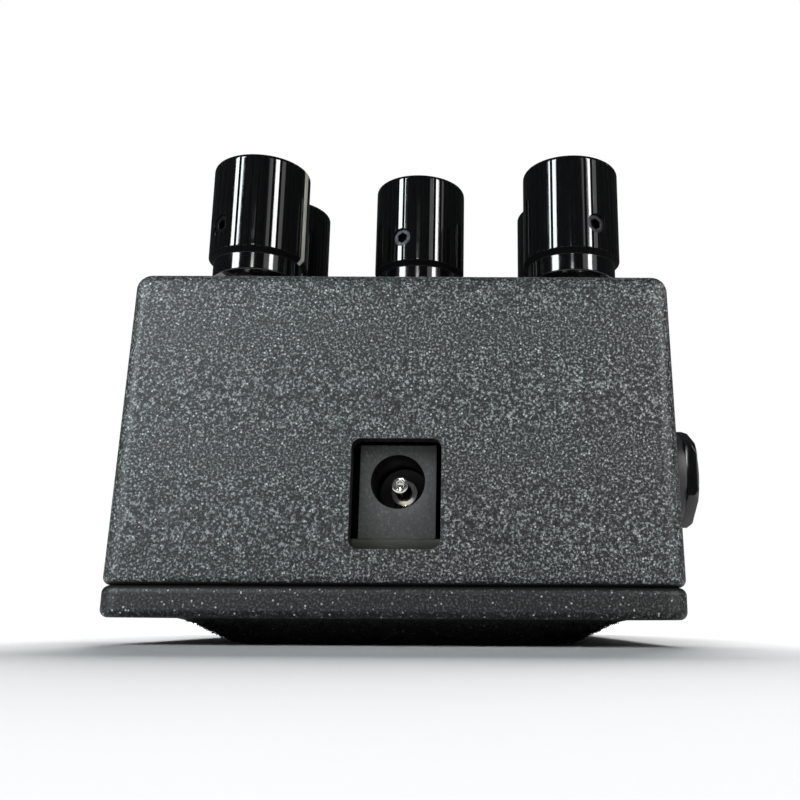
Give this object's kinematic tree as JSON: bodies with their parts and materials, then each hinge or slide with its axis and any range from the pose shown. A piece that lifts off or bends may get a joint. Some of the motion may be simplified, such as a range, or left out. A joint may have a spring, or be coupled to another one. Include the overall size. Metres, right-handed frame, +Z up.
{
  "type": "guitar effects pedal",
  "caption": "Compact die-cast guitar pedal with five rotary controls, a latching footswitch, two side signal sockets and a rear power socket.",
  "frame": {"origin": "middle of the underside of the fibre pad, where the pedal stands", "axes": "+Z up, +Y from the power-socket end to the footswitch end, +X to the input-socket side"},
  "size_m": [0.076, 0.1212, 0.0703],
  "materials": {
    "powder_coat": "textured charcoal powder coat with fine sparkle",
    "lid_coat": "textured charcoal powder coat, slightly smoother",
    "zinc_screw": "bright zinc",
    "hook_fibre": "black hook-and-loop fibre",
    "black_knob": "polished black phenolic",
    "cream_line": "cream inlay",
    "black_oxide_screw": "black oxide steel",
    "shaft_metal": "turned steel",
    "pot_case": "moulded black case",
    "nickel": "nickel plate",
    "dark_nickel": "smoked nickel plate",
    "black_nickel": "glossy black plate",
    "socket_black": "moulded black, slight sheen",
    "switch_blue": "moulded blue",
    "lamp_lens": "diffused clear lens",
    "circuit_board": "green solder resist",
    "chip_black": "epoxy package",
    "can_sleeve": "dark blue sleeve",
    "film_red": "dipped film case",
    "resistor_body": "lacquered body",
    "ribbon_grey": "grey ribbon insulation",
    "contact_metal": "plated spring metal"
  },
  "bodies": {
    "chassis": {"enclosure_body": "powder_coat", "base_plate": "lid_coat", "base_plate_screws": "zinc_screw", "fibre_pad": "hook_fibre", "pot_bodies": "pot_case", "pot_bushings": "dark_nickel", "pot_nuts": "dark_nickel", "pot_washers": "dark_nickel", "pot_terminals": "nickel", "footswitch_body": "switch_blue", "footswitch_frame": "nickel", "footswitch_sleeve": "nickel", "footswitch_nut": "nickel", "footswitch_washer": "pot_case", "footswitch_inner_nut": "nickel", "footswitch_lugs": "nickel", "footswitch_spring": "shaft_metal", "lamp_bezel": "nickel", "lamp": "lamp_lens", "lamp_leads": "nickel", "main_board": "circuit_board", "jack_board": "circuit_board", "switch_board": "circuit_board", "amplifier_chips": "chip_black", "chip_legs": "nickel", "electrolytic_capacitors": "can_sleeve", "film_capacitors": "film_red", "resistors": "resistor_body", "ribbon_to_jack_board": "ribbon_grey", "ribbon_to_switch_board": "ribbon_grey", "power_socket_body": "socket_black", "power_socket_pin": "nickel", "power_socket_contact": "contact_metal", "input_socket_body": "socket_black", "output_socket_body": "socket_black", "input_socket_contact": "contact_metal", "output_socket_contact": "contact_metal", "socket_washers": "pot_case", "socket_nuts": "black_nickel"},
    "control_near_left": {"knob_near_left": "black_knob", "pointer_line_near_left": "cream_line", "grub_screw_near_left": "black_oxide_screw", "pot_shaft_near_left": "shaft_metal"},
    "control_near_right": {"knob_near_right": "black_knob", "pointer_line_near_right": "cream_line", "grub_screw_near_right": "black_oxide_screw", "pot_shaft_near_right": "shaft_metal"},
    "control_centre": {"knob_centre": "black_knob", "pointer_line_centre": "cream_line", "grub_screw_centre": "black_oxide_screw", "pot_shaft_centre": "shaft_metal"},
    "control_far_left": {"knob_far_left": "black_knob", "pointer_line_far_left": "cream_line", "grub_screw_far_left": "black_oxide_screw", "pot_shaft_far_left": "shaft_metal"},
    "control_far_right": {"knob_far_right": "black_knob", "pointer_line_far_right": "cream_line", "grub_screw_far_right": "black_oxide_screw", "pot_shaft_far_right": "shaft_metal"},
    "footswitch_button": {"footswitch_plunger": "nickel"}
  },
  "joints": [
    {"name": "turn_near_left", "type": "hinge", "parent": "chassis", "child": "control_near_left", "pos_m": [-0.023, -0.038, 0.0439], "axis": [0, 0, 1], "range_deg": [-228, 72]},
    {"name": "turn_near_right", "type": "hinge", "parent": "chassis", "child": "control_near_right", "pos_m": [0.023, -0.038, 0.0439], "axis": [0, 0, 1], "range_deg": [-294, 6]},
    {"name": "turn_centre", "type": "hinge", "parent": "chassis", "child": "control_centre", "pos_m": [0, -0.0271, 0.0439], "axis": [0, 0, 1], "range_deg": [-247.7, 52.3]},
    {"name": "turn_far_left", "type": "hinge", "parent": "chassis", "child": "control_far_left", "pos_m": [-0.023, -0.0191, 0.0439], "axis": [0, 0, 1], "range_deg": [-150, 150]},
    {"name": "turn_far_right", "type": "hinge", "parent": "chassis", "child": "control_far_right", "pos_m": [0.023, -0.0191, 0.0439], "axis": [0, 0, 1], "range_deg": [-110, 190]},
    {"name": "press_footswitch", "type": "slide", "parent": "chassis", "child": "footswitch_button", "axis": [0, 0, -1], "range_m": [0, 0.0025], "stiffness_N_per_m": 4000, "springref_m": -0.0015, "deforming": ["footswitch_spring"]}
  ]
}
